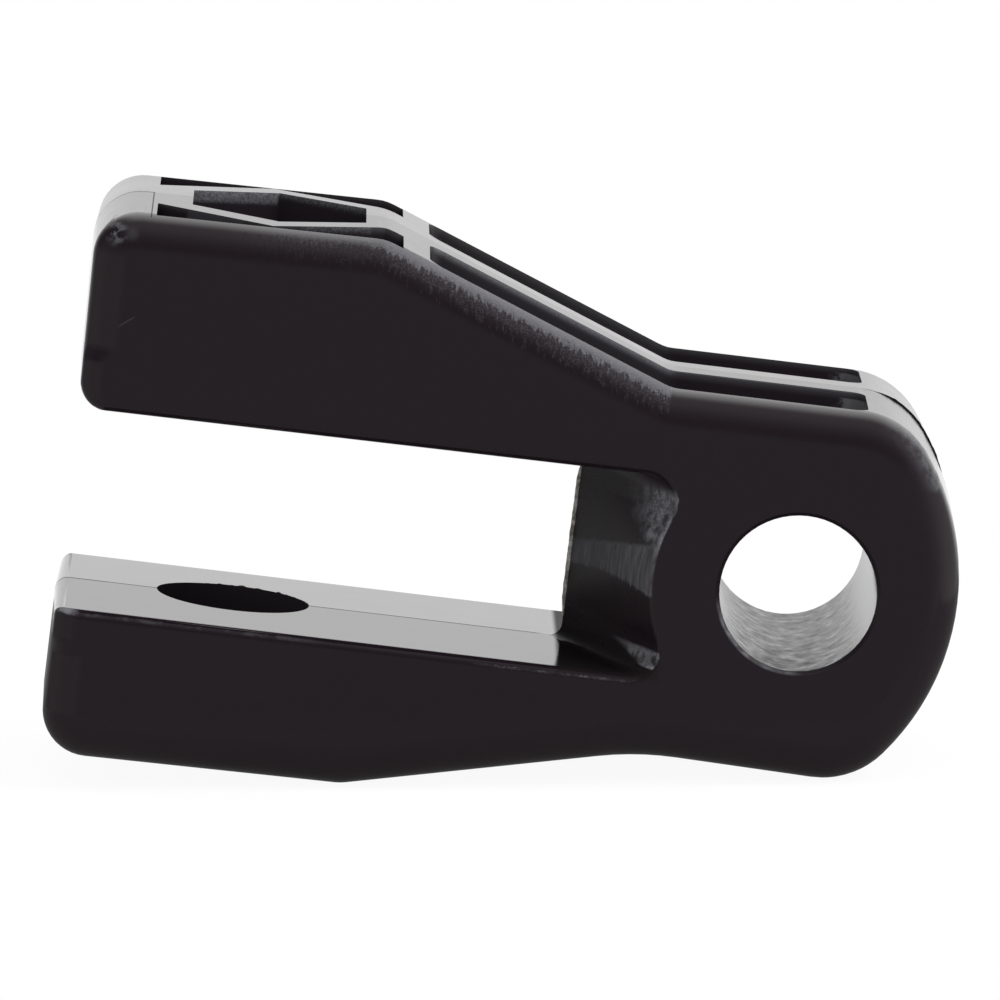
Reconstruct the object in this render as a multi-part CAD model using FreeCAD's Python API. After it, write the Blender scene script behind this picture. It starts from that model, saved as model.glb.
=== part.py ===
"""Rear mounting bracket: one moulded piece with a forked end and a cross-bored lobe.

Frame: the origin is the middle of the cross bore. +X runs along the bracket from the fork
towards the lobe, +Y runs along the cross bore and +Z runs along the fork bore, from the
lower arm to the upper arm. All lengths are in millimetres.

The mould parts on the plane Y = 0, so both halves are alike and each one tapers from that
plane towards its own face. One half is skinned between its profile on the parting plane and
its profile on the face, its rims are rounded, and it is mirrored. Then the bores, the cored
web over the upper arm and the two channels along the back are cut.
"""
import FreeCAD
import Part

import math
import os

# Width of the moulding and the taper of each half
half_width = 14.5
draft_angle = 0.9

# Cross bore through the lobe, and the boss left round it where the slot ends
cross_bore_diameter = 12.5
boss_radius = 11.8

# Fork bore through both arms
fork_bore_diameter = 12.3
fork_axis_x = -44.3

# Chamfer of the cross bore's mouths
bore_mouth_chamfer = 0.3

# Slot between the arms: its end wall on the parting plane is a straight V-nose,
# and its end wall on each face follows the boss
slot_ceiling_z = 7.76
slot_ceiling_lip_z = 7.65
slot_floor_z = -7.9
slot_nose_x = -17.8
slot_nose_radius = 1.0
slot_mouth_radius = 2.1

# Upper arm, with its reaches measured from the fork bore's axis to its tip and its knee
upper_tip_top_reach = 14.6
upper_tip_top_z = 23.8
upper_tip_slot_reach = 14.3
upper_tip_radius = 3.8
upper_lip_radius = 2.4
upper_knee_reach = 8.6
upper_knee_z = 24.12
upper_knee_radius = 4.0

# Lower arm, with its reaches measured in the same way
lower_tip_reach = 14.27
lower_tip_z = -20.4
lower_tip_radius = 3.9
lower_lip_radius = 1.0
lower_knee_reach = 10.15
lower_knee_z = -20.09
lower_knee_radius = 4.5

# Lobe, the sloping back that rises from it and the waist under it
lobe_top_z = 14.95
lobe_end_centre_x = -7.15
lobe_end_centre_z = 0.1
lobe_end_radius = 20.15
lobe_corner_radius = 7.0
lobe_bottom_angle = 1.4
back_foot_x = -11.8
back_foot_radius = 3.0
waist_x = -11.0
waist_z = -14.79
waist_radius = 25.0

# Rounding of the rims: round the outside, beside the arms' lips, along each side of the
# slot and round the boss. Each arm's end keeps the rounding of its lip over a short length
# and takes up that of the outside over another
outer_rim_radius = 3.2
lip_rim_radius = 2.0
upper_slot_rim_radius = 1.2
lower_slot_rim_radius = 0.85
boss_rim_radius = 0.35
lip_rim_length = 1.5
rim_step_length = 1.5

# Cored web over the upper arm: a six-sided well on the fork bore's axis and a
# three-cornered well in each corner, with a web of its own thickness on each side
well_floor_thickness = 6.1
hex_half_length = 6.95
hex_end_half_width = 4.4
hex_middle_half_width = 8.7
tip_web = 2.5
knee_web = 2.0
tip_well_reach = 9.7
knee_well_reach = 10.0
knee_well_step = 1.5
well_outer_y = 11.9

# Channels along the back and the top of the lobe, one on each side of a central rib
channel_start_reach = 12.2
channel_end_x = 3.9
channel_inner_y = 2.7
channel_outer_y = 11.55
channel_depth = 3.2
channel_end_radius = 1.2

# How far cutting tools reach past the outside
clearance = 2.0
touch = 1e-4

draft = math.tan(math.radians(draft_angle))
upper_tip_top_x = fork_axis_x - upper_tip_top_reach
upper_tip_slot_x = fork_axis_x - upper_tip_slot_reach
upper_knee_x = fork_axis_x + upper_knee_reach
lower_tip_x = fork_axis_x - lower_tip_reach
lower_knee_x = fork_axis_x + lower_knee_reach


def point(x, z):
    """A point of the profile."""
    return FreeCAD.Vector(x, 0, z)


def unit(vector):
    """The direction of a vector, with a length of one."""
    return FreeCAD.Vector(vector).normalize()


def left_of(direction):
    """The direction a quarter turn to the left, seen with +X to the right and +Z up."""
    return FreeCAD.Vector(-direction.z, 0, direction.x)


class Side:
    """A straight side of a profile. What it bounds lies to the left of its direction."""

    def __init__(self, start, end):
        self.start = start
        self.direction = unit(end - start)

    def shifted(self, distance):
        """The same side, moved to its left."""
        start = self.start + left_of(self.direction) * distance
        return Side(start, start + self.direction)

    def foot(self, place):
        """The point of the side that is nearest to a place."""
        return self.start + self.direction * (place - self.start).dot(self.direction)

    def meet(self, other):
        """The corner where this side's line crosses another's."""
        across = left_of(other.direction)
        run = (other.start - self.start).dot(across) / self.direction.dot(across)
        return self.start + self.direction * run

    def meet_circle(self, centre, radius, ahead):
        """Where the line meets a circle: the place ahead, or the one behind."""
        foot = self.foot(centre)
        reach = math.sqrt(radius**2 - (centre - foot).Length ** 2)
        return foot + self.direction * (reach if ahead else -reach)


def arc(start, bulge, centre, end):
    """An arc from start to end about a centre, through the side where a place lies."""
    middle = centre + unit(bulge - centre) * (start - centre).Length
    return Part.Arc(start, middle, end)


def corner_arc(before, after, radius):
    """The arc that rounds the corner between two sides."""
    turns_left = before.direction.dot(left_of(after.direction)) < 0
    shift = radius if turns_left else -radius
    centre = before.shifted(shift).meet(after.shifted(shift))
    return arc(before.foot(centre), before.meet(after), centre, after.foot(centre))


def blend_arc(side, centre, radius, shift, ahead):
    """The arc that rounds the corner between a side and a circle, starting on the side.

    A positive shift puts it inside the circle and a negative one outside. Its radius is
    the size of the shift.
    """
    own_centre = side.shifted(shift).meet_circle(centre, radius - shift, ahead)
    start = side.foot(own_centre)
    end = centre + (own_centre - centre) * (radius / (radius - shift))
    return arc(start, (start + end) * 0.5, own_centre, end)


def turned_back(curve):
    """The same arc, run from its end to its start."""
    middle = curve.value((curve.FirstParameter + curve.LastParameter) / 2)
    return Part.Arc(curve.EndPoint, middle, curve.StartPoint)


def divided(curve, direction):
    """An arc in two pieces, which meet where it lies in a direction from its centre."""
    centre = curve.toShape().Curve.Center
    place = centre + unit(direction) * (curve.StartPoint - centre).Length
    before = (curve.StartPoint + place) * 0.5
    after = (place + curve.EndPoint) * 0.5
    return arc(curve.StartPoint, before, centre, place), arc(place, after, centre, curve.EndPoint)


class Profile:
    """The outline of the bracket in the plane Y = y, inset by the draft.

    Each bend is an arc or a stretch of a side, the rounding of the rim along it and the
    rounding of the rim along the straight side after it. A rounding of None runs from one
    neighbour's to the other's.
    """

    def __init__(self, y):
        self.y = y
        self.inset = draft * abs(y)
        self.bends = self.outside() + self.slot()

    def side(self, start, end):
        """A side given on the parting plane, inset to this plane."""
        return Side(start, end).shifted(self.inset)

    def lower_end(self):
        return self.side(point(lower_tip_x, slot_floor_z), point(lower_tip_x, lower_tip_z))

    def upper_end(self):
        return self.side(
            point(upper_tip_top_x, upper_tip_top_z), point(upper_tip_slot_x, slot_ceiling_lip_z)
        )

    def step(self, end, start_z, stop_z):
        """The stretch of an arm's end where its rim takes up another rounding."""
        return Part.LineSegment(
            end.foot(point(lower_tip_x, start_z)), end.foot(point(lower_tip_x, stop_z))
        )

    def outside(self):
        """The bends round the outside, from the lower arm's end to the upper arm's end."""
        lower_knee = point(lower_knee_x, lower_knee_z)
        waist = point(waist_x, waist_z)
        fall = math.radians(lobe_bottom_angle)
        back_foot = point(back_foot_x, lobe_top_z)
        upper_knee = point(upper_knee_x, upper_knee_z)

        bottom = self.side(point(lower_tip_x, lower_tip_z), lower_knee)
        rise = self.side(lower_knee, waist)
        lobe_bottom = self.side(waist, waist + point(math.cos(fall), -math.sin(fall)))
        lobe_top = self.side(point(0, lobe_top_z), back_foot)
        back = self.side(back_foot, upper_knee)
        top = self.side(upper_knee, point(upper_tip_top_x, upper_tip_top_z))

        centre = point(lobe_end_centre_x, lobe_end_centre_z)
        end_radius = lobe_end_radius - self.inset
        corner_radius = lobe_corner_radius - self.inset
        lower_corner = blend_arc(lobe_bottom, centre, end_radius, corner_radius, True)
        upper_corner = turned_back(
            blend_arc(lobe_top, centre, end_radius, corner_radius, False)
        )
        lobe_end = arc(
            lower_corner.EndPoint, centre + point(1, 0), centre, upper_corner.StartPoint
        )
        arcs = [
            corner_arc(self.lower_end(), bottom, lower_tip_radius - self.inset),
            corner_arc(bottom, rise, lower_knee_radius - self.inset),
            corner_arc(rise, lobe_bottom, waist_radius + self.inset),
            lower_corner,
            lobe_end,
            upper_corner,
            corner_arc(lobe_top, back, back_foot_radius + self.inset),
            corner_arc(back, top, upper_knee_radius - self.inset),
            corner_arc(top, self.upper_end(), upper_tip_radius - self.inset),
        ]
        lower_z = slot_floor_z - lower_lip_radius - lip_rim_length
        upper_z = slot_ceiling_lip_z + upper_lip_radius + lip_rim_length
        lower_step = self.step(self.lower_end(), lower_z, lower_z - rim_step_length)
        upper_step = self.step(self.upper_end(), upper_z + rim_step_length, upper_z)
        first = (lower_step, None, outer_rim_radius)
        last = (upper_step, None, lip_rim_radius)
        return [first] + [(curve, outer_rim_radius, outer_rim_radius) for curve in arcs] + [last]

    def slot(self):
        """The bends of the slot, from the upper arm's lip to the lower arm's lip."""
        ceiling = self.side(
            point(upper_tip_slot_x, slot_ceiling_lip_z), point(slot_nose_x, slot_ceiling_z)
        )
        floor = self.side(point(slot_nose_x, slot_floor_z), point(lower_tip_x, slot_floor_z))
        upper_lip = corner_arc(self.upper_end(), ceiling, upper_lip_radius - self.inset)
        lower_lip = corner_arc(floor, self.lower_end(), lower_lip_radius - self.inset)
        mouth = self.mouth(ceiling, floor)
        throat = self.nose(ceiling, floor, mouth) if self.y == 0 else mouth
        first = (upper_lip, None, upper_slot_rim_radius)
        last = (lower_lip, None, lip_rim_radius)
        return [first] + throat + [last]

    def nose(self, ceiling, floor, mouth):
        """The end of the slot on the parting plane: a straight wall with rounded corners.

        The wall is divided at the heights where the boss starts and ends on the face, so
        that the ruled wall behind the mouth has a piece for each of the mouth's arcs.
        """
        wall = Side(point(slot_nose_x, slot_ceiling_z), point(slot_nose_x, slot_floor_z))
        upper = corner_arc(ceiling, wall, slot_nose_radius)
        lower = corner_arc(wall, floor, slot_nose_radius)
        boss = mouth[2][0]
        boss_start = wall.foot(boss.StartPoint)
        boss_end = wall.foot(boss.EndPoint)
        stops = [upper.EndPoint, boss_start, boss_end, lower.StartPoint]
        pieces = [Part.LineSegment(start, end) for start, end in zip(stops, stops[1:])]
        return [(curve, None, None) for curve in [upper] + pieces + [lower]]

    def mouth(self, ceiling, floor):
        """The end of the slot on a face: it follows the boss between rounded corners.

        Each corner is divided where it is upright, as the corner of the nose ends there.
        """
        centre = point(0, 0)
        upper = blend_arc(ceiling, centre, boss_radius, -slot_mouth_radius, False)
        lower = turned_back(blend_arc(floor, centre, boss_radius, -slot_mouth_radius, True))
        boss = arc(upper.EndPoint, point(-1, 0), centre, lower.StartPoint)
        upper_corner, upper_end = divided(upper, point(1, 0))
        lower_end, lower_corner = divided(lower, point(1, 0))
        return [
            (upper_corner, None, None),
            (upper_end, boss_rim_radius, None),
            (boss, boss_rim_radius, None),
            (lower_end, boss_rim_radius, None),
            (lower_corner, None, lower_slot_rim_radius),
        ]

    def edges(self):
        """The edges of the outline in order, each with the rounding of its rim."""
        found = []
        following = self.bends[1:] + self.bends[:1]
        for (curve, rounding, side_rounding), (next_curve, _, _) in zip(self.bends, following):
            found.append((curve.toShape(), rounding))
            if (next_curve.StartPoint - curve.EndPoint).Length > touch:
                line = Part.LineSegment(curve.EndPoint, next_curve.StartPoint)
                found.append((line.toShape(), side_rounding))
        for edge, _ in found:
            edge.translate(FreeCAD.Vector(0, self.y, 0))
        return found


def skin(near_edges, far_edges):
    """A solid between two outlines that have the same run of edges."""
    near_wire = Part.Wire(near_edges)
    far_wire = Part.Wire(far_edges)
    faces = [Part.Face(near_wire), Part.Face(far_wire)]
    for loft_face in Part.makeLoft([near_wire, far_wire], False, True).Faces:
        corners = [vertex.Point for vertex in loft_face.OuterWire.OrderedVertexes]
        curved = any(isinstance(edge.Curve, Part.Circle) for edge in loft_face.Edges)
        if curved:
            faces.append(loft_face)
        else:
            faces.append(Part.Face(Part.makePolygon(corners + corners[:1])))
    shell = Part.makeShell(faces)
    shell.sewShape(touch)
    solid = Part.makeSolid(shell)
    return solid if solid.Volume > 0 else solid.reversed()


def middle_of(edge):
    """The point half-way along an edge."""
    return edge.valueAt((edge.FirstParameter + edge.LastParameter) / 2)


def round_rims(solid, rims):
    """Rounds the edges of a solid that lie where the rims do.

    Where a rim has no rounding of its own, it runs from one neighbour's to the other's.
    """
    document = FreeCAD.newDocument()
    base = document.addObject("Part::Feature", "Base")
    base.Shape = solid
    rounded = document.addObject("Part::Fillet", "Rounded")
    rounded.Base = base
    chosen = []
    for number, edge in enumerate(base.Shape.Edges, 1):
        for rim, radius in rims:
            if radius and (middle_of(edge) - middle_of(rim)).Length < touch:
                chosen.append((number, radius, radius))
    rounded.Edges = chosen
    document.recompute()
    shape = rounded.Shape.copy()
    FreeCAD.closeDocument(document.Name)
    return shape


def moulding():
    """The solid body, before its bores and wells: one rounded half and its mirror image."""
    parting = Profile(0).edges()
    face = Profile(-half_width).edges()
    half = skin([edge for edge, _ in parting], [edge for edge, _ in face])
    half = round_rims(half, face)
    other = half.mirror(FreeCAD.Vector(0, 0, 0), FreeCAD.Vector(0, 1, 0))
    return half.fuse(other).removeSplitter()


def cross_bore():
    """The cutting cylinder of the cross bore."""
    reach = half_width + clearance
    return Part.makeCylinder(
        cross_bore_diameter / 2, 2 * reach, FreeCAD.Vector(0, -reach, 0), FreeCAD.Vector(0, 1, 0)
    )


def well_floor_z():
    """The height of the floor of the wells over the upper arm."""
    return slot_ceiling_z + well_floor_thickness


def fork_bore():
    """The cutting cylinder of the fork bore, from under the lower arm into the wells."""
    bottom = min(lower_tip_z, lower_knee_z) - clearance
    height = well_floor_z() + clearance - bottom
    return Part.makeCylinder(
        fork_bore_diameter / 2, height, FreeCAD.Vector(fork_axis_x, 0, bottom)
    )


def well(corners):
    """A cutting prism for a well, from its corners in plan."""
    outline = [FreeCAD.Vector(x, y, well_floor_z()) for x, y in corners]
    height = upper_knee_z + clearance - well_floor_z()
    return Part.Face(Part.makePolygon(outline + outline[:1])).extrude(FreeCAD.Vector(0, 0, height))


def upright_edges(prism):
    """The edges of a prism that run along Z."""
    return [
        edge for edge in prism.Edges if abs(edge.tangentAt(edge.FirstParameter).z) > 1 - touch
    ]


def wells():
    """The six-sided well and the four three-cornered wells round it."""
    slant = math.atan2(hex_middle_half_width - hex_end_half_width, hex_half_length)
    cutters = [
        well(
            [
                (fork_axis_x - hex_half_length, -hex_end_half_width),
                (fork_axis_x, -hex_middle_half_width),
                (fork_axis_x + hex_half_length, -hex_end_half_width),
                (fork_axis_x + hex_half_length, hex_end_half_width),
                (fork_axis_x, hex_middle_half_width),
                (fork_axis_x - hex_half_length, hex_end_half_width),
            ]
        )
    ]

    def web_y(x, web):
        """How far out the slanting web's outer side lies, at a place along the bracket."""
        apart = abs(x - fork_axis_x)
        return hex_middle_half_width - apart * math.tan(slant) + web / math.cos(slant)

    def web_x(web):
        """How far from the fork bore's axis the web's outer side reaches the outer rim."""
        return (hex_middle_half_width + web / math.cos(slant) - well_outer_y) / math.tan(slant)

    tip_well_x = fork_axis_x - tip_well_reach
    knee_well_x = fork_axis_x + knee_well_reach
    knee_step_x = knee_well_x - knee_well_step
    for side in (-1, 1):
        cutters.append(
            well(
                [
                    (tip_well_x, side * well_outer_y),
                    (tip_well_x, side * web_y(tip_well_x, tip_web)),
                    (fork_axis_x - web_x(tip_web), side * well_outer_y),
                ]
            )
        )
        cutters.append(
            well(
                [
                    (fork_axis_x + web_x(knee_web), side * well_outer_y),
                    (knee_step_x, side * web_y(knee_step_x, knee_web)),
                    (knee_well_x, side * web_y(knee_step_x, knee_web)),
                    (knee_well_x, side * well_outer_y),
                ]
            )
        )
    return cutters


def channels():
    """The two channels, each with a floor that follows the back and the top of the lobe."""
    back_foot = point(back_foot_x, lobe_top_z)
    upper_knee = point(upper_knee_x, upper_knee_z)
    lobe_floor = Side(point(channel_end_x, lobe_top_z), back_foot).shifted(channel_depth)
    back_floor = Side(back_foot, upper_knee).shifted(channel_depth)
    lower_end = Side(point(channel_end_x, 0), point(channel_end_x, 1))
    channel_start_x = fork_axis_x + channel_start_reach
    upper_end = Side(point(channel_start_x, 0), point(channel_start_x, 1))
    roof = Side(point(0, upper_knee_z + clearance), point(1, upper_knee_z + clearance))
    corners = [
        lobe_floor.meet(lower_end),
        lobe_floor.meet(back_floor),
        back_floor.meet(upper_end),
        upper_end.meet(roof),
        lower_end.meet(roof),
    ]
    outline = Part.Face(Part.makePolygon(corners + corners[:1]))
    cutters = []
    for start_y in (-channel_outer_y, channel_inner_y):
        placed = outline.translated(FreeCAD.Vector(0, start_y, 0))
        prism = placed.extrude(FreeCAD.Vector(0, channel_outer_y - channel_inner_y, 0))
        cutters.append(prism.makeFillet(channel_end_radius, upright_edges(prism)))
    return cutters


def bore_mouths(body):
    """The round edges of the cross bore on the two faces."""
    radius = cross_bore_diameter / 2
    return [
        edge
        for edge in body.Edges
        if not edge.Degenerated
        and isinstance(edge.Curve, Part.Circle)
        and abs(edge.Curve.Radius - radius) < touch
        and abs(abs(edge.Curve.Center.y) - half_width) < touch
    ]


def bracket_body():
    """The finished bracket."""
    body = moulding()
    body = body.cut([cross_bore(), fork_bore()] + wells() + channels())
    return body.makeChamfer(bore_mouth_chamfer, bore_mouths(body))


os.makedirs("parts", exist_ok=True)
bracket_body().exportStep("parts/bracket_body.step")
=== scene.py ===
"""Finish and stage for a moulded rear mounting bracket.

Frame: the origin is the middle of the cross bore. +X runs from the fork towards the lobe,
+Y along the cross bore and +Z along the fork bore. The mould parts on the plane Y = 0.
"""
import math

import bmesh
import bpy
from mathutils import Matrix, Vector, noise


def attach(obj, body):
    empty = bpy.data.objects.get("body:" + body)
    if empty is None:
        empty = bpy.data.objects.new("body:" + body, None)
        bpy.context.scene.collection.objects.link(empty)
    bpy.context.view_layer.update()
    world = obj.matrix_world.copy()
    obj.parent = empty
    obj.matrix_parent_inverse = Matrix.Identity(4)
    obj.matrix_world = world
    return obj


bl_info = {
    "name": "Rear Mounting Bracket",
    "version": (1, 0, 0),
    "blender": (4, 5, 0),
    "location": "3D View > Sidebar > Bracket",
    "description": "Finishes a moulded rear mounting bracket and sets it on a plain stage",
    "category": "Object",
}

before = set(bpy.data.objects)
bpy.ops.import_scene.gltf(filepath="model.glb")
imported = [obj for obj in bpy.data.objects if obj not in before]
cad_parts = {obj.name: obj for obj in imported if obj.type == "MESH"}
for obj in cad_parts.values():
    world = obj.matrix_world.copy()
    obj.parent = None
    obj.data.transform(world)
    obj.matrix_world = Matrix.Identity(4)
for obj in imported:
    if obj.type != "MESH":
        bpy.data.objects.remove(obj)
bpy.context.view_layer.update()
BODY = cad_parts["bracket_body"]
MM = 0.001

# Places on the moulding, in millimetres along the axes above.
HALF_WIDTH = 14.5
BORE_RADIUS = 6.25
FORK_X = -44.3
FORK_RADIUS = 6.15
SLOT_FLOOR = -7.85
SLOPE_X = (-35.7, -11.8)
SLOPE_Z = (24.12, 14.95)
SLOPE_STARTS = (-38.0, -35.0)
SLOPE_STOPS = (-12.1, -11.8)
LOBE_CHANNEL_END = (3.9, 4.3)
WELL_HALF_WIDTH = (11.8, 12.1)
RIB_HALF_WIDTH = (2.8, 3.2)
RING_ENDS = (-51.6, -36.9)
RING_HALF_WIDTH = (9.7, 10.1)
TIP_MARK_X = -54.4


class Wire:
    """One value or colour in a node tree, with the operators that its sums need."""

    def __init__(self, shader, socket):
        self.shader = shader
        self.socket = socket

    def math(self, operation, *others, **settings):
        settings["operation"] = operation
        values = dict(enumerate((self, *others)))
        return self.shader.node("ShaderNodeMath", settings, values)

    def __add__(self, other):
        return self.math("ADD", other)

    def __radd__(self, other):
        return self.math("ADD", other)

    def __sub__(self, other):
        return self.math("SUBTRACT", other)

    def __rsub__(self, other):
        return self.shader.node("ShaderNodeMath", {"operation": "SUBTRACT"}, {0: other, 1: self})

    def __mul__(self, other):
        return self.math("MULTIPLY", other)

    def __rmul__(self, other):
        return self.math("MULTIPLY", other)

    def __pow__(self, other):
        return self.math("POWER", other)

    def __abs__(self):
        return self.math("ABSOLUTE")

    def clamped(self):
        """The value, held between 0 and 1."""
        return self.math("MULTIPLY", 1.0, use_clamp=True)

    def rise(self, low, high):
        """A smooth step that is 0 below the low value and 1 above the high one."""
        values = {"Value": self, "From Min": low, "From Max": high}
        return self.shader.node("ShaderNodeMapRange", {"interpolation_type": "SMOOTHSTEP"}, values)

    def fall(self, low, high):
        """A smooth step that is 1 below the low value and 0 above the high one."""
        return 1.0 - self.rise(low, high)

    def ramp(self, low, high, start, stop):
        """A straight ramp from one value to another, level beyond its ends."""
        values = {"Value": self, "From Min": low, "From Max": high, "To Min": start, "To Max": stop}
        return self.shader.node("ShaderNodeMapRange", None, values)

    def band(self, low, high, soft):
        """1 between two values and 0 outside them, with soft ends."""
        return self.rise(low - soft, low + soft) * self.fall(high - soft, high + soft)

    def line(self, place, half_width):
        """1 at one value, falling to 0 half a width away on each side."""
        return abs(self - place).fall(0.0, half_width)


class Shader:
    """A node tree that is built from expressions."""

    def __init__(self, owner):
        owner.use_nodes = True
        self.tree = owner.node_tree
        self.tree.nodes.clear()

    def node(self, kind, settings=None, values=None, output=0):
        """Adds a node: its settings first, then the values or links of its sockets."""
        made = self.tree.nodes.new(kind)
        for name, value in (settings or {}).items():
            setattr(made, name, value)
        for name, value in (values or {}).items():
            socket = self.find(made.inputs, name)
            if isinstance(value, Wire):
                self.tree.links.new(value.socket, socket)
            else:
                socket.default_value = value
        return Wire(self, self.find(made.outputs, output)) if made.outputs else None

    @staticmethod
    def find(sockets, name):
        """A socket by its number, its identifier or its name."""
        if isinstance(name, int):
            return sockets[name]
        for socket in sockets:
            if socket.identifier == name:
                return socket
        return sockets[name]

    def colours(self, factor, first, second):
        """A mix of two colours."""
        values = {"Factor_Float": factor, "A_Color": first, "B_Color": second}
        settings = {"data_type": "RGBA"}
        return self.node("ShaderNodeMix", settings, values, "Result_Color")

    def vector(self, x, y, z):
        return self.node("ShaderNodeCombineXYZ", None, {0: x, 1: y, 2: z})

    def parts(self, vector):
        return [self.node("ShaderNodeSeparateXYZ", None, {0: vector}, axis) for axis in range(3)]

    def noise(self, vector, scale, detail=2.0, roughness=0.5):
        values = {"Vector": vector, "Scale": scale, "Detail": detail, "Roughness": roughness}
        return self.node("ShaderNodeTexNoise", None, values)


class MouldingSettings(bpy.types.PropertyGroup):
    """Colours and textures of the moulded plastic."""

    colour: bpy.props.FloatVectorProperty(
        name="Colour",
        description="Colour of the smooth faces",
        subtype="COLOR",
        size=3,
        min=0,
        max=1,
        default=(0.0135, 0.0088, 0.0118),
    )
    # Also the colour of the painted highlights, reflections and lit wall tops.
    frosted_and_painted_light_colour: bpy.props.FloatVectorProperty(
        name="Frosted colour",
        description="Colour of the rims where the mould has left them frosted",
        subtype="COLOR",
        size=3,
        min=0,
        max=1,
        default=(0.215, 0.217, 0.24),
    )
    roughness: bpy.props.FloatProperty(
        name="Roughness",
        description="Roughness of the smooth faces",
        subtype="FACTOR",
        min=0,
        max=1,
        default=0.12,
    )
    frosted_roughness: bpy.props.FloatProperty(
        name="Frosted roughness",
        description="Roughness of the frosted rims",
        subtype="FACTOR",
        min=0,
        max=1,
        default=0.5,
    )
    grain_size: bpy.props.FloatProperty(
        name="Grain size",
        description="Size of one grain of the frosting",
        unit="LENGTH",
        default=0.17 * MM,
    )
    grain_depth: bpy.props.FloatProperty(
        name="Grain depth",
        description="Depth of the frosting",
        unit="LENGTH",
        default=0.03 * MM,
    )


class FlashSettings(bpy.types.PropertyGroup):
    """The thin flash that the mould has left along its joints."""

    height: bpy.props.FloatProperty(
        name="Flash height",
        description="How far the flash stands off the surface",
        unit="LENGTH",
        default=0.2 * MM,
    )
    thickness: bpy.props.FloatProperty(
        name="Flash thickness",
        description="Thickness of the flash at its foot",
        unit="LENGTH",
        default=0.12 * MM,
    )
    spacing: bpy.props.FloatProperty(
        name="Flash spacing",
        description="Distance between two sections of the flash",
        unit="LENGTH",
        default=0.15 * MM,
    )


class StageSettings(bpy.types.PropertyGroup):
    """Floor, light and camera."""

    floor_length: bpy.props.FloatProperty(
        name="Floor length",
        description="Length of the floor along X",
        unit="LENGTH",
        default=0.18,
    )
    floor_depth: bpy.props.FloatProperty(
        name="Floor depth",
        description="Depth of the floor along Y",
        unit="LENGTH",
        default=0.13,
    )
    floor_front: bpy.props.FloatProperty(
        name="Floor front",
        description="Distance from the parting plane to the floor's front edge",
        unit="LENGTH",
        default=0.045,
    )
    floor_tilt: bpy.props.FloatProperty(
        name="Floor tilt",
        description="Angle between the floor and the bracket's own level",
        subtype="ANGLE",
        default=math.radians(7.42),
    )
    floor_colour: bpy.props.FloatVectorProperty(
        name="Floor colour",
        description="Colour of the floor",
        subtype="COLOR",
        size=3,
        min=0,
        max=1,
        default=(0.82, 0.82, 0.82),
    )
    surroundings: bpy.props.FloatProperty(
        name="Surroundings",
        description="Level of the light from all round",
        min=0,
        default=0.8,
    )
    lamp_size: bpy.props.FloatProperty(
        name="Lamp size",
        description="Length of the lamp's side",
        unit="LENGTH",
        default=0.5,
    )
    lamp_power: bpy.props.FloatProperty(
        name="Lamp power",
        description="Power of the lamp",
        unit="POWER",
        min=0,
        default=3.0,
    )
    camera_height: bpy.props.FloatProperty(
        name="Camera height",
        description="Height of the camera over the cross bore's axis",
        unit="LENGTH",
        default=0.15977,
    )
    camera_distance: bpy.props.FloatProperty(
        name="Camera distance",
        description="Distance from the camera to the parting plane, along Y",
        unit="LENGTH",
        default=1.03601,
    )
    camera_side: bpy.props.FloatProperty(
        name="Camera side",
        description="Place of the camera along X",
        unit="LENGTH",
        default=-0.05395,
    )
    camera_roll: bpy.props.FloatProperty(
        name="Camera roll",
        description="Turn of the camera about its own view",
        subtype="ANGLE",
        default=math.radians(-7.036),
    )
    lens: bpy.props.FloatProperty(
        name="Lens",
        description="Focal length of the camera",
        subtype="DISTANCE_CAMERA",
        default=470.36,
    )


class BracketSettings(bpy.types.PropertyGroup):
    """All of the bracket's settings."""

    moulding: bpy.props.PointerProperty(
        name="Moulding", description="Moulded plastic", type=MouldingSettings
    )
    flash: bpy.props.PointerProperty(
        name="Flash", description="Flash along the mould's joints", type=FlashSettings
    )
    stage: bpy.props.PointerProperty(
        name="Stage", description="Floor, light and camera", type=StageSettings
    )


# The next functions say how pale a place is painted, from 0 to 1: frosting and wear, and painted
# light and shade. Places are in millimetres.
# The tilt is 0 where a surface runs along Y and 1 on the flat faces.


def slope_rims(x, z, tilt, up, streaks, patches, mottle):
    """How pale the rims over the slope and the lobe are painted: a painted highlight on their
    frosted rounding, with a ragged lower border.
    """
    edge = tilt + (streaks - 0.5) * 0.8 + (patches - 0.5) * 0.15
    light = edge.fall(0.5, 0.68) * (0.7 + 0.6 * mottle)
    dusk = edge.fall(0.76, 0.92) * mottle
    on_slope = x.rise(*SLOPE_STARTS) * x.fall(*SLOPE_STOPS) * (0.36 * light + 0.12 * dusk)
    before_slope = x.rise(-50.0, -40.0) * x.fall(*SLOPE_STARTS) * (0.1 * light + 0.06 * dusk)
    soft_edge = tilt + (patches - 0.5) * 0.5
    corner = x.rise(4.6, 8.2) * x.fall(10.8, 12.4) * soft_edge.fall(0.5, 0.9)
    corner = corner * (0.06 + 0.3 * patches.rise(0.36, 0.64))
    rim = up * z.rise(9.0, 9.6) * tilt.rise(0.03, 0.12)
    return rim * (on_slope + before_slope + corner)


def lower_lip(x, z, tilt, up, patches, mottle):
    """How pale the lower arm's rim along the slot is painted: a thin painted highlight strip, pale
    smears and one pale corner.
    """
    rim = up * z.band(-10.4, SLOT_FLOOR, 0.05)
    # A painted highlight along the rounded edge next to the slot.
    strip = x.band(-24.0, -11.8, 1.6) * tilt.band(0.84, 0.95, 0.02)
    strip = strip * (0.02 + 0.3 * mottle * patches.rise(0.32, 0.6))
    smears = x.band(-57.2, -38.0, 1.5) * tilt.band(0.55, 0.84, 0.06) * patches.rise(0.42, 0.62)
    corner = x.fall(-57.4, -56.2) * tilt.band(0.3, 0.9, 0.08) * patches.rise(0.3, 0.6)
    return rim * (strip + 0.12 * smears + 0.8 * corner)


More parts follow.
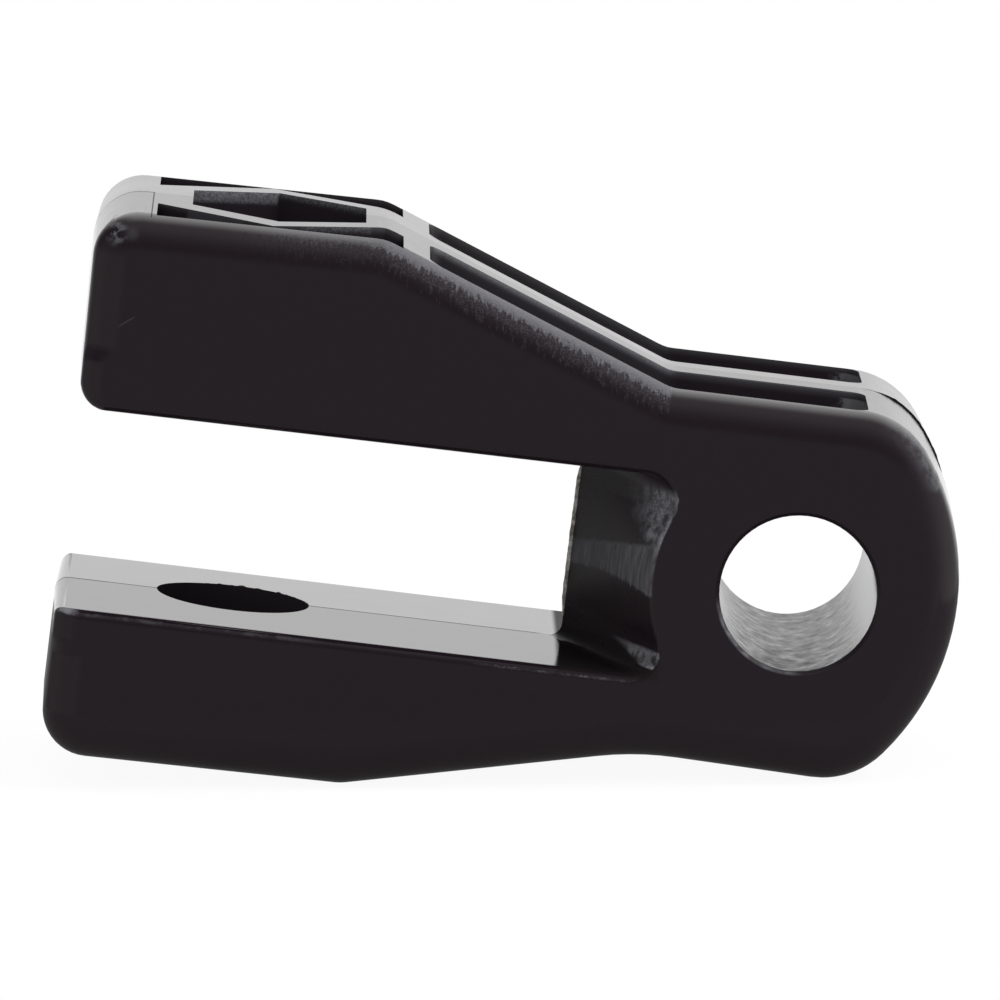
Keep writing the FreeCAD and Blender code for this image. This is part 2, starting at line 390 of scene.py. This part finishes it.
def well_walls(x, y, z, ny, nz, depth, patches, mottle):
    """How pale the walls of the wells and channels are painted: painted light near their tops,
    fading to painted shade deeper down.
    """
    across = abs(y)
    inside = across.fall(*WELL_HALF_WIDTH) * x.band(-55.5, 5.3, 0.2) * z.rise(8.6, 9.0)
    upright = abs(nz).fall(0.2, 0.5)
    slope = x.band(-33.5, SLOPE_X[1] - 0.1, 1.0)
    rib = across.fall(*RIB_HALF_WIDTH)
    # Painted light at the tops of the walls, fading to painted shade with depth.
    fading = 0.04 + 0.22 * depth.fall(0.0, 0.9) + 0.08 * slope
    fading = fading + rib * 0.45 * depth.fall(0.0, 0.25)
    fading = fading + rib * slope * depth.fall(0.0, 0.65) * (0.5 + 0.4 * mottle)

    # The six-sided wall, first from inside the well and then from outside it. Inside, its left part
    # gets mottled painted light near the top.
    ring = x.band(*RING_ENDS, 0.1) * across.fall(*RING_HALF_WIDTH)
    inward = ring * (y * ny).fall(-0.9, -0.2)
    outward = ring * (y * ny).rise(0.2, 0.9)
    mottled_painted_light = x.fall(-44.6, -44.3) * depth.fall(0.9, 1.4) * (0.1 + 0.4 * mottle + 0.3 * patches)
    sparkle = mottle * depth.fall(0.1, 0.9)
    # Outside it: pale speckles towards the lobe, and paler lower down towards the fork.
    outer_pale = x.rise(-43.5, -42.0) * 0.45 * sparkle
    outer_pale = outer_pale + x.fall(-46.0, -44.0) * 0.16 * depth.rise(0.0, 1.0)

    ends = (x + 5.0 * patches).rise(4.3, 5.4) * x.fall(*LOBE_CHANNEL_END) * depth.rise(0.55, 0.7)
    walls = fading + inward * (mottled_painted_light + 0.4 * sparkle) + outward * outer_pale
    return inside * (upright * walls + ends * 0.55)


def slot_throat(z, reach, wall, streaks, patches, mottle):
    """How pale the wall at the end of the slot is painted: a streaked band of painted reflection
    and two painted highlights in its corners.

    The reach is 0 on the parting plane and 1 at either face.
    """
    # The painted reflection's band: its upper and lower edges curve with the reach and are drawn
    # out in streaks.
    drawn = z + (streaks - 0.5) * 0.9
    top = 0.15 + 2.4 * reach
    bottom = -1.9 + 2.2 * reach - 2.0 * reach * reach
    band = (drawn - bottom).rise(-0.1, 0.25) * (drawn - top).fall(-0.2, 0.12)

    # Painted highlights in the upper and lower corners of the wall.
    loose = (patches - 0.5) * 1.6
    upper = (z + loose - 8.1 + 6.2 * reach).rise(-0.6, 0.7) * z.fall(6.2, 7.2)
    upper = upper * (reach + loose * 0.08).rise(0.48, 0.72) * (0.5 + reach.rise(0.6, 0.9))
    lower = (z + 6.05 + loose * 0.2).fall(-0.2, 0.15) * (z + 4.6 + 3.2 * reach).rise(-0.2, 0.2)
    lower = lower * z.rise(-7.5, -7.3) * reach.rise(0.45, 0.85)

    blotches = patches.rise(0.3, 0.64) * (0.6 + 0.8 * mottle)
    pale = band * (0.1 + 0.4 * streaks.rise(0.3, 0.7))
    pale = pale + upper * (0.06 + 0.46 * blotches) + lower * (0.15 + 0.6 * blotches)
    return wall * pale


def wear_and_mouth_highlight(x, y, z, patches):
    """Wear on the near face: two rubbed spots and a scratch at the tip; and a painted highlight
    round the lower left of the bore's mouth.
    """
    corner = distance(x, z, -57.0, 22.1)
    spot = distance(x, z, -55.7, 22.2)
    rubbed = corner.fall(0.1, 1.3) * patches.rise(0.42, 0.58) * 0.5 + spot.fall(0.1, 0.7) * 0.09
    # The scratch, along its own direction and aside from it.
    along = (x + 56.1) * 0.785 + (z - 14.7) * 0.62
    aside = (x + 56.1) * 0.62 - (z - 14.7) * 0.785
    scratch = along.band(0.2, 1.6, 0.3) * abs(aside).fall(0.02, 0.09)
    # A painted highlight on the lower left of the bore's rim.
    mouth = distance(x, z, 0.0, 0.0).band(BORE_RADIUS + 0.03, BORE_RADIUS + 0.25, 0.12)
    mouth = mouth * (x * 0.57 + z * 0.82).fall(-5.9, -4.4) * (0.3 + 0.7 * patches.rise(0.35, 0.6))
    worn_face = y.fall(-10.0, -9.0) * (rubbed + 0.11 * scratch)
    return worn_face + 0.8 * mouth * y.fall(-14.3, -14.0)


def mould_lines(x, y, z):
    """The fine lines where parts of the mould met: at the tip, the lobe and the lower arm."""
    middle = abs(y).fall(0.05, 0.2)
    tip = x.fall(TIP_MARK_X, TIP_MARK_X + 0.1)
    lobe = x.rise(3.5, 4.5) * z.rise(4.0, 6.0)
    lower_arm = z.fall(-7.0, -6.0) * x.fall(-20.0, -19.0)
    slide = x.line(TIP_MARK_X, 0.09) * y.band(-12.4, 0.05, 0.05) * z.rise(22.5, 23.2)
    return (middle * (tip + lobe + lower_arm) + slide).clamped()


def distance(first, second, first_place, second_place):
    """The distance to a point, from two coordinates."""
    along = first - first_place
    across = second - second_place
    return (along * along + across * across) ** 0.5


def moulded_plastic(settings):
    """Black moulded plastic: smooth faces, frosted rims and the mould's lines."""
    material = bpy.data.materials.new("moulded_plastic_finish")
    shader = Shader(material)
    place = shader.node("ShaderNodeTexCoord", None, None, "Object")
    normal = shader.node("ShaderNodeTexCoord", None, None, "Normal")
    x, y, z = [axis * (1 / MM) for axis in shader.parts(place)]
    nx, ny, nz = shader.parts(normal)

    tilt = abs(ny)
    up = nz.rise(0.05, 0.4)
    depth = x.ramp(*SLOPE_X, *SLOPE_Z) - z

    grain = shader.noise(place, 1.0 / settings.grain_size, 3.0, 0.6)
    cloud = shader.noise(place, 260.0, 3.0, 0.55)
    patches = shader.noise(place, 900.0, 3.0, 0.6)
    slope_streaks = shader.noise(shader.vector(x * 5.0, y * 1.1, z * 1.1), 1.0, 3.0, 0.6)
    drawn_streaks = shader.noise(shader.vector(x * 0.4, y * 3.6, z * 0.35), 1.0, 3.0, 0.65)
    mottle = grain.rise(0.36, 0.66)

    bore = distance(x, z, 0.0, 0.0).fall(BORE_RADIUS + 0.15, BORE_RADIUS + 0.35)
    fork = distance(x, y, FORK_X, 0.0).fall(FORK_RADIUS + 0.05, FORK_RADIUS + 0.25)
    wall = x.rise(-19.0, -18.0) * x.fall(-10.2, -9.9) * nx.fall(-0.4, -0.2) * abs(z).fall(7.6, 8.4)

    rims = slope_rims(x, z, tilt, up, slope_streaks, patches, mottle)
    lip = lower_lip(x, z, tilt, up, patches, mottle)
    wells = well_walls(x, y, z, ny, nz, depth, patches, mottle)
    throat = slot_throat(z, abs(y) * (1 / HALF_WIDTH), wall, drawn_streaks, patches, mottle)
    marks = wear_and_mouth_highlight(x, y, z, patches)
    # Frosting and wear, with the painted highlights, reflections and lit wall tops of the functions
    # above.
    chalk_and_painted_light = (rims + lip + wells + throat + marks + fork * 0.06).clamped()
    colour = shader.colours(chalk_and_painted_light, (*settings.colour, 1.0), (*settings.frosted_and_painted_light_colour, 1.0))

    tops = up * z.rise(9.0, 12.0) * tilt.fall(0.1, 0.4)
    stains = z.fall(-6.3, -2.0) * (0.14 + 0.55 * (patches - 0.5))
    frost = ((chalk_and_painted_light - 0.05) * 3.0).clamped()
    roughness = settings.roughness + (settings.frosted_roughness - settings.roughness) * frost
    roughness = roughness + 0.06 * tops + 0.16 * wall
    roughness = roughness + (cloud - 0.5) * (0.06 - 0.05 * bore) + bore * (0.09 + stains)

    height = grain * (0.1 + 0.9 * frost) + 0.15 * cloud
    height = height * (1.0 - 0.9 * bore) * (1.0 - 0.6 * wall)
    bump = shader.node(
        "ShaderNodeBump",
        None,
        {"Strength": 0.6, "Distance": settings.grain_depth, "Height": height},
    )
    plastic = shader.node(
        "ShaderNodeBsdfPrincipled",
        None,
        {"Base Color": colour, "Roughness": roughness, "Normal": bump, "IOR": 1.5},
    )
    # A dark diffuse for the mould's lines, and as painted shade on the shelf below.
    groove_and_shade = shader.node("ShaderNodeBsdfDiffuse", None, {"Color": (0.012, 0.01, 0.011, 1.0)})
    # The upward shelf at the foot of the slot's end wall also gets the dark diffuse: a painted
    # shade that hides its reflection.
    shelf = x.band(-18.2, -10.2, 0.25) * z.band(-8.4, -5.4, 0.3) * nz.rise(-0.1, 0.12)
    lines_and_shelf_shade = (mould_lines(x, y, z) + shelf * (1.0 - frost)).clamped() * 0.8
    surface = shader.node("ShaderNodeMixShader", None, {0: lines_and_shelf_shade, 1: plastic, 2: groove_and_shade})
    shader.node("ShaderNodeOutputMaterial", None, {"Surface": surface})
    return material


class BRACKET_OT_finish_moulding(bpy.types.Operator):
    """Give the bracket's moulding its plastic"""

    bl_idname = "bracket.finish_moulding"
    bl_label = "Finish the moulding"

    def execute(self, context):
        settings = context.scene.rear_bracket.moulding
        BODY.material_slots[0].material = moulded_plastic(settings)
        return {"FINISHED"}


def thin_plastic():
    """The same plastic where it is thin enough to look pale."""
    material = bpy.data.materials.new("thin_flash")
    shader = Shader(material)
    place = shader.node("ShaderNodeTexCoord", None, None, "Object")
    worn = shader.noise(place, 1600.0, 2.0).rise(0.35, 0.65)
    colour = shader.colours(worn, (0.2, 0.19, 0.17, 1.0), (0.6, 0.57, 0.52, 1.0))
    values = {"Base Color": colour, "Roughness": 0.5}
    surface = shader.node("ShaderNodeBsdfPrincipled", None, values)
    shader.node("ShaderNodeOutputMaterial", None, {"Surface": surface})
    return material


def on_surface(start, aim):
    """Where a ray from outside first meets the bracket."""
    met, place, _, _ = BODY.ray_cast(start, aim)
    if not met:
        raise RuntimeError("No surface was found for the flash")
    return place


def fin_mesh(name, path, height, thickness, ragged):
    """A thin fin: each point of its path has a place, an outward and a sideways direction.

    Its foot is sunk in the surface, its top is thinner, and it runs out over both ends.
    """
    sunk = 0.1 * MM
    top_share = 0.4
    end_sections = 12
    lowest_share = 0.12
    shape = bmesh.new()
    sections = []
    for step, (place, outward, sideways) in enumerate(path):
        uneven = noise.noise(place * 2400.0) + 0.5 * noise.noise(place * 500.0)
        taper = min(1.0, (step + 1) / end_sections, (len(path) - step) / end_sections)
        share = max(lowest_share, 1.0 - 0.6 * ragged + ragged * uneven)
        top = place + outward * height * taper * share
        foot = place - outward * sunk
        half = sideways * thickness / 2
        corners = (foot - half, top - half * top_share, top + half * top_share, foot + half)
        sections.append([shape.verts.new(corner) for corner in corners])
    for near, far in zip(sections, sections[1:]):
        for first in range(4):
            second = (first + 1) % 4
            shape.faces.new((near[first], near[second], far[second], far[first]))
    shape.faces.new(reversed(sections[0]))
    shape.faces.new(sections[-1])
    bmesh.ops.recalc_face_normals(shape, faces=shape.faces)
    mesh = bpy.data.meshes.new(name)
    shape.to_mesh(mesh)
    shape.free()
    return mesh


class BRACKET_OT_add_flash(bpy.types.Operator):
    """Add the flash in the slot's throat, over the lobe and at the fork bore's mouth"""

    bl_idname = "bracket.add_flash"
    bl_label = "Add the flash"

    def execute(self, context):
        settings = context.scene.rear_bracket.flash
        pale = thin_plastic()
        dark = BODY.material_slots[0].material
        self.add_fin(context, "throat_flash", self.throat(settings), 1.5, 0.15, pale)
        self.add_fin(context, "lobe_flash", self.lobe(settings), 0.8, 0.2, dark)
        self.add_fin(context, "fork_bore_flash", self.fork_mouth(settings), 0.8, 1.4, dark)
        return {"FINISHED"}

    def add_fin(self, context, name, path, share, ragged, material):
        """Add one fin, with its share of the flash height and how ragged its top is."""
        settings = context.scene.rear_bracket.flash
        mesh = fin_mesh(name, path, settings.height * share, settings.thickness, ragged)
        mesh.materials.append(material)
        piece = bpy.data.objects.new(name, mesh)
        context.scene.collection.objects.link(piece)
        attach(piece, "root")

    def throat(self, settings):
        """Down the end of the slot, on the parting plane."""
        top = 6.6 * MM
        length = 13.2 * MM
        path = []
        for step in range(int(length / settings.spacing) + 1):
            height = top - step * settings.spacing
            place = on_surface(Vector((-30 * MM, 0, height)), Vector((1, 0, 0)))
            path.append((place, Vector((-1, 0, 0)), Vector((0, 1, 0))))
        return path

    def lobe(self, settings):
        """Round the upper corner of the lobe, on the parting plane."""
        start, stop = math.radians(72), math.radians(39)
        radius = 15
        outside = 30
        count = int((start - stop) * radius * MM / settings.spacing)
        path = []
        for step in range(count + 1):
            angle = start + (stop - start) * step / count
            outward = Vector((math.cos(angle), 0, math.sin(angle)))
            place = on_surface(outward * outside * MM, -outward)
            path.append((place, outward, Vector((0, 1, 0))))
        return path

    def fork_mouth(self, settings):
        """Along the far edge of the fork bore, where it opens through the lower arm."""
        start, stop = math.radians(112), math.radians(35)
        centre = Vector((FORK_X, 0, -4)) * MM
        reach = (FORK_RADIUS + 0.07) * MM
        count = int((start - stop) * reach / settings.spacing)
        path = []
        for step in range(count + 1):
            angle = start + (stop - start) * step / count
            sideways = Vector((math.cos(angle), math.sin(angle), 0))
            place = on_surface(centre + sideways * reach, Vector((0, 0, -1)))
            path.append((place, Vector((0, 0, 1)), sideways))
        return path


def floor_finish(settings):
    """A pale floor that is white to the eye and keeps a soft shadow."""
    material = bpy.data.materials.new("pale_floor")
    shader = Shader(material)
    white_level = 1.04
    white_share = 0.9
    matt = shader.node("ShaderNodeBsdfDiffuse", None, {"Color": (*settings.floor_colour, 1.0)})
    seen = shader.node("ShaderNodeLightPath", None, None, "Is Camera Ray")
    mirrored = shader.node("ShaderNodeLightPath", None, None, "Is Glossy Ray")
    passed = shader.node("ShaderNodeLightPath", None, None, "Is Transmission Ray")
    tone = shader.colours(mirrored, (1, 1, 1, 1), (0.14, 0.14, 0.14, 1))
    white = shader.node("ShaderNodeEmission", None, {"Color": tone, "Strength": white_level})
    lit = (seen + mirrored + passed).clamped() * white_share
    surface = shader.node("ShaderNodeMixShader", None, {0: lit, 1: matt, 2: white})
    shader.node("ShaderNodeOutputMaterial", None, {"Surface": surface})
    return material


def light_world(world, settings):
    """Pale surroundings: white to the eye, and in the gloss brightest behind the bracket."""
    shader = Shader(world)
    direction = shader.node("ShaderNodeTexCoord", None, None, "Generated")
    x, y, z = shader.parts(direction)
    # Levels of the room that the gloss mirrors, each with the directions where its side starts.
    behind = (1.1 * y.rise(0.15, 0.62) - 0.32 * y.rise(0.75, 0.98)) * x.fall(0.45, 0.85)
    behind = behind * x.rise(-0.5, -0.15)
    behind = behind * (1.0 - z.fall(-0.1, 0.05) * y.fall(0.85, 0.97))
    overhead = 0.34 * y.rise(-0.95, 0.0) * x.rise(-0.8, -0.3)
    front = 0.14 * z.fall(0.05, 0.5) * y.fall(0.0, 0.7)
    beside = 0.08 * z.fall(-0.05, 0.1) * x.fall(-0.5, -0.2)
    level = 0.05 + behind + overhead + front + beside
    seen = shader.node("ShaderNodeLightPath", None, None, "Is Camera Ray")
    mirrored = shader.node("ShaderNodeLightPath", None, None, "Is Glossy Ray")
    passed = shader.node("ShaderNodeLightPath", None, None, "Is Transmission Ray")
    soft = shader.node(
        "ShaderNodeBackground", None, {"Color": (1, 1, 1, 1), "Strength": settings.surroundings}
    )
    mirror = shader.node("ShaderNodeBackground", None, {"Color": (1, 1, 1, 1), "Strength": level})
    white = shader.node("ShaderNodeBackground", None, {"Color": (1, 1, 1, 1), "Strength": 1.0})
    reflected = shader.node(
        "ShaderNodeMixShader", None, {0: (mirrored + passed).clamped(), 1: soft, 2: mirror}
    )
    surface = shader.node("ShaderNodeMixShader", None, {0: seen, 1: reflected, 2: white})
    shader.node("ShaderNodeOutputWorld", None, {"Surface": surface})


class BRACKET_OT_set_stage(bpy.types.Operator):
    """Add the floor, the light and the camera"""

    bl_idname = "bracket.set_stage"
    bl_label = "Set the stage"

    def execute(self, context):
        scene = context.scene
        settings = scene.rear_bracket.stage
        self.add_floor(scene, settings)
        world = scene.world or bpy.data.worlds.new("studio")
        scene.world = world
        light_world(world, settings)
        self.add_lamp(scene, settings)
        self.add_camera(scene, settings)
        scene.view_settings.view_transform = "Standard"
        return {"FINISHED"}

    def add_floor(self, scene, settings):
        """A flat floor, level with the two places that the bracket rests on."""
        middle_x = -22 * MM
        gap = 0.02 * MM
        across = Vector((math.cos(settings.floor_tilt), 0, math.sin(settings.floor_tilt)))
        upward = Vector((-across.z, 0, across.x))
        lowest = min(upward.dot(BODY.matrix_world @ v.co) for v in BODY.data.vertices)
        middle = across * middle_x + upward * (lowest - gap)
        half = settings.floor_length / 2
        front = -settings.floor_front
        back = front + settings.floor_depth
        mesh = bpy.data.meshes.new("floor")
        shape = bmesh.new()
        outline = ((-half, front), (half, front), (half, back), (-half, back))
        corners = [middle + across * x + Vector((0, y, 0)) for x, y in outline]
        shape.faces.new([shape.verts.new(corner) for corner in corners])
        shape.to_mesh(mesh)
        shape.free()
        floor = bpy.data.objects.new("floor", mesh)
        scene.collection.objects.link(floor)
        mesh.materials.append(floor_finish(settings))

    def add_lamp(self, scene, settings):
        """A broad soft lamp over the right shoulder, which the gloss doesn't mirror."""
        lamp = bpy.data.lights.new("soft_lamp", "AREA")
        lamp.shape = "SQUARE"
        lamp.size = settings.lamp_size
        lamp.energy = settings.lamp_power
        holder = bpy.data.objects.new("soft_lamp", lamp)
        place = Vector((0.45, -0.25, 0.62))
        holder.location = place
        holder.visible_glossy = False
        holder.rotation_euler = (-place).to_track_quat("-Z", "Y").to_euler()
        scene.collection.objects.link(holder)

    def add_camera(self, scene, settings):
        """The camera, at the height, distance and roll of the reference view."""
        lens = bpy.data.cameras.new("camera")
        lens.lens = settings.lens
        lens.sensor_width = 36.0
        lens.clip_start = 0.05
        lens.clip_end = 20.0
        camera = bpy.data.objects.new("camera", lens)
        place = Vector((settings.camera_side, -settings.camera_distance, settings.camera_height))
        aim = Vector((-23.958, 0.0, 2.465)) * MM
        upright = (aim - place).to_track_quat("-Z", "Y").to_matrix().to_4x4()
        turn = Matrix.Rotation(-settings.camera_roll, 4, "Z")
        camera.matrix_world = Matrix.Translation(place) @ upright @ turn
        scene.collection.objects.link(camera)
        scene.camera = camera


class BRACKET_PT_panel(bpy.types.Panel):
    """Lists the bracket's steps and settings"""

    bl_idname = "BRACKET_PT_panel"
    bl_label = "Rear mounting bracket"
    bl_space_type = "VIEW_3D"
    bl_region_type = "UI"
    bl_category = "Bracket"

    def draw(self, context):
        settings = context.scene.rear_bracket
        for group in (settings.moulding, settings.flash, settings.stage):
            box = self.layout.box()
            for name in group.__annotations__:
                box.prop(group, name)
        for step in STEPS:
            self.layout.operator(step.bl_idname)


STEPS = (BRACKET_OT_finish_moulding, BRACKET_OT_add_flash, BRACKET_OT_set_stage)
GROUPS = (MouldingSettings, FlashSettings, StageSettings, BracketSettings)
CLASSES = (*GROUPS, *STEPS, BRACKET_PT_panel)


def register():
    for item in CLASSES:
        bpy.utils.register_class(item)
    bpy.types.Scene.rear_bracket = bpy.props.PointerProperty(
        name="Rear mounting bracket", description="Settings of the bracket", type=BracketSettings
    )


def unregister():
    del bpy.types.Scene.rear_bracket
    for item in reversed(CLASSES):
        bpy.utils.unregister_class(item)


def main():
    register()
    bpy.ops.bracket.finish_moulding()
    bpy.ops.bracket.add_flash()
    bpy.ops.bracket.set_stage()


if __name__ == "__main__":
    main()
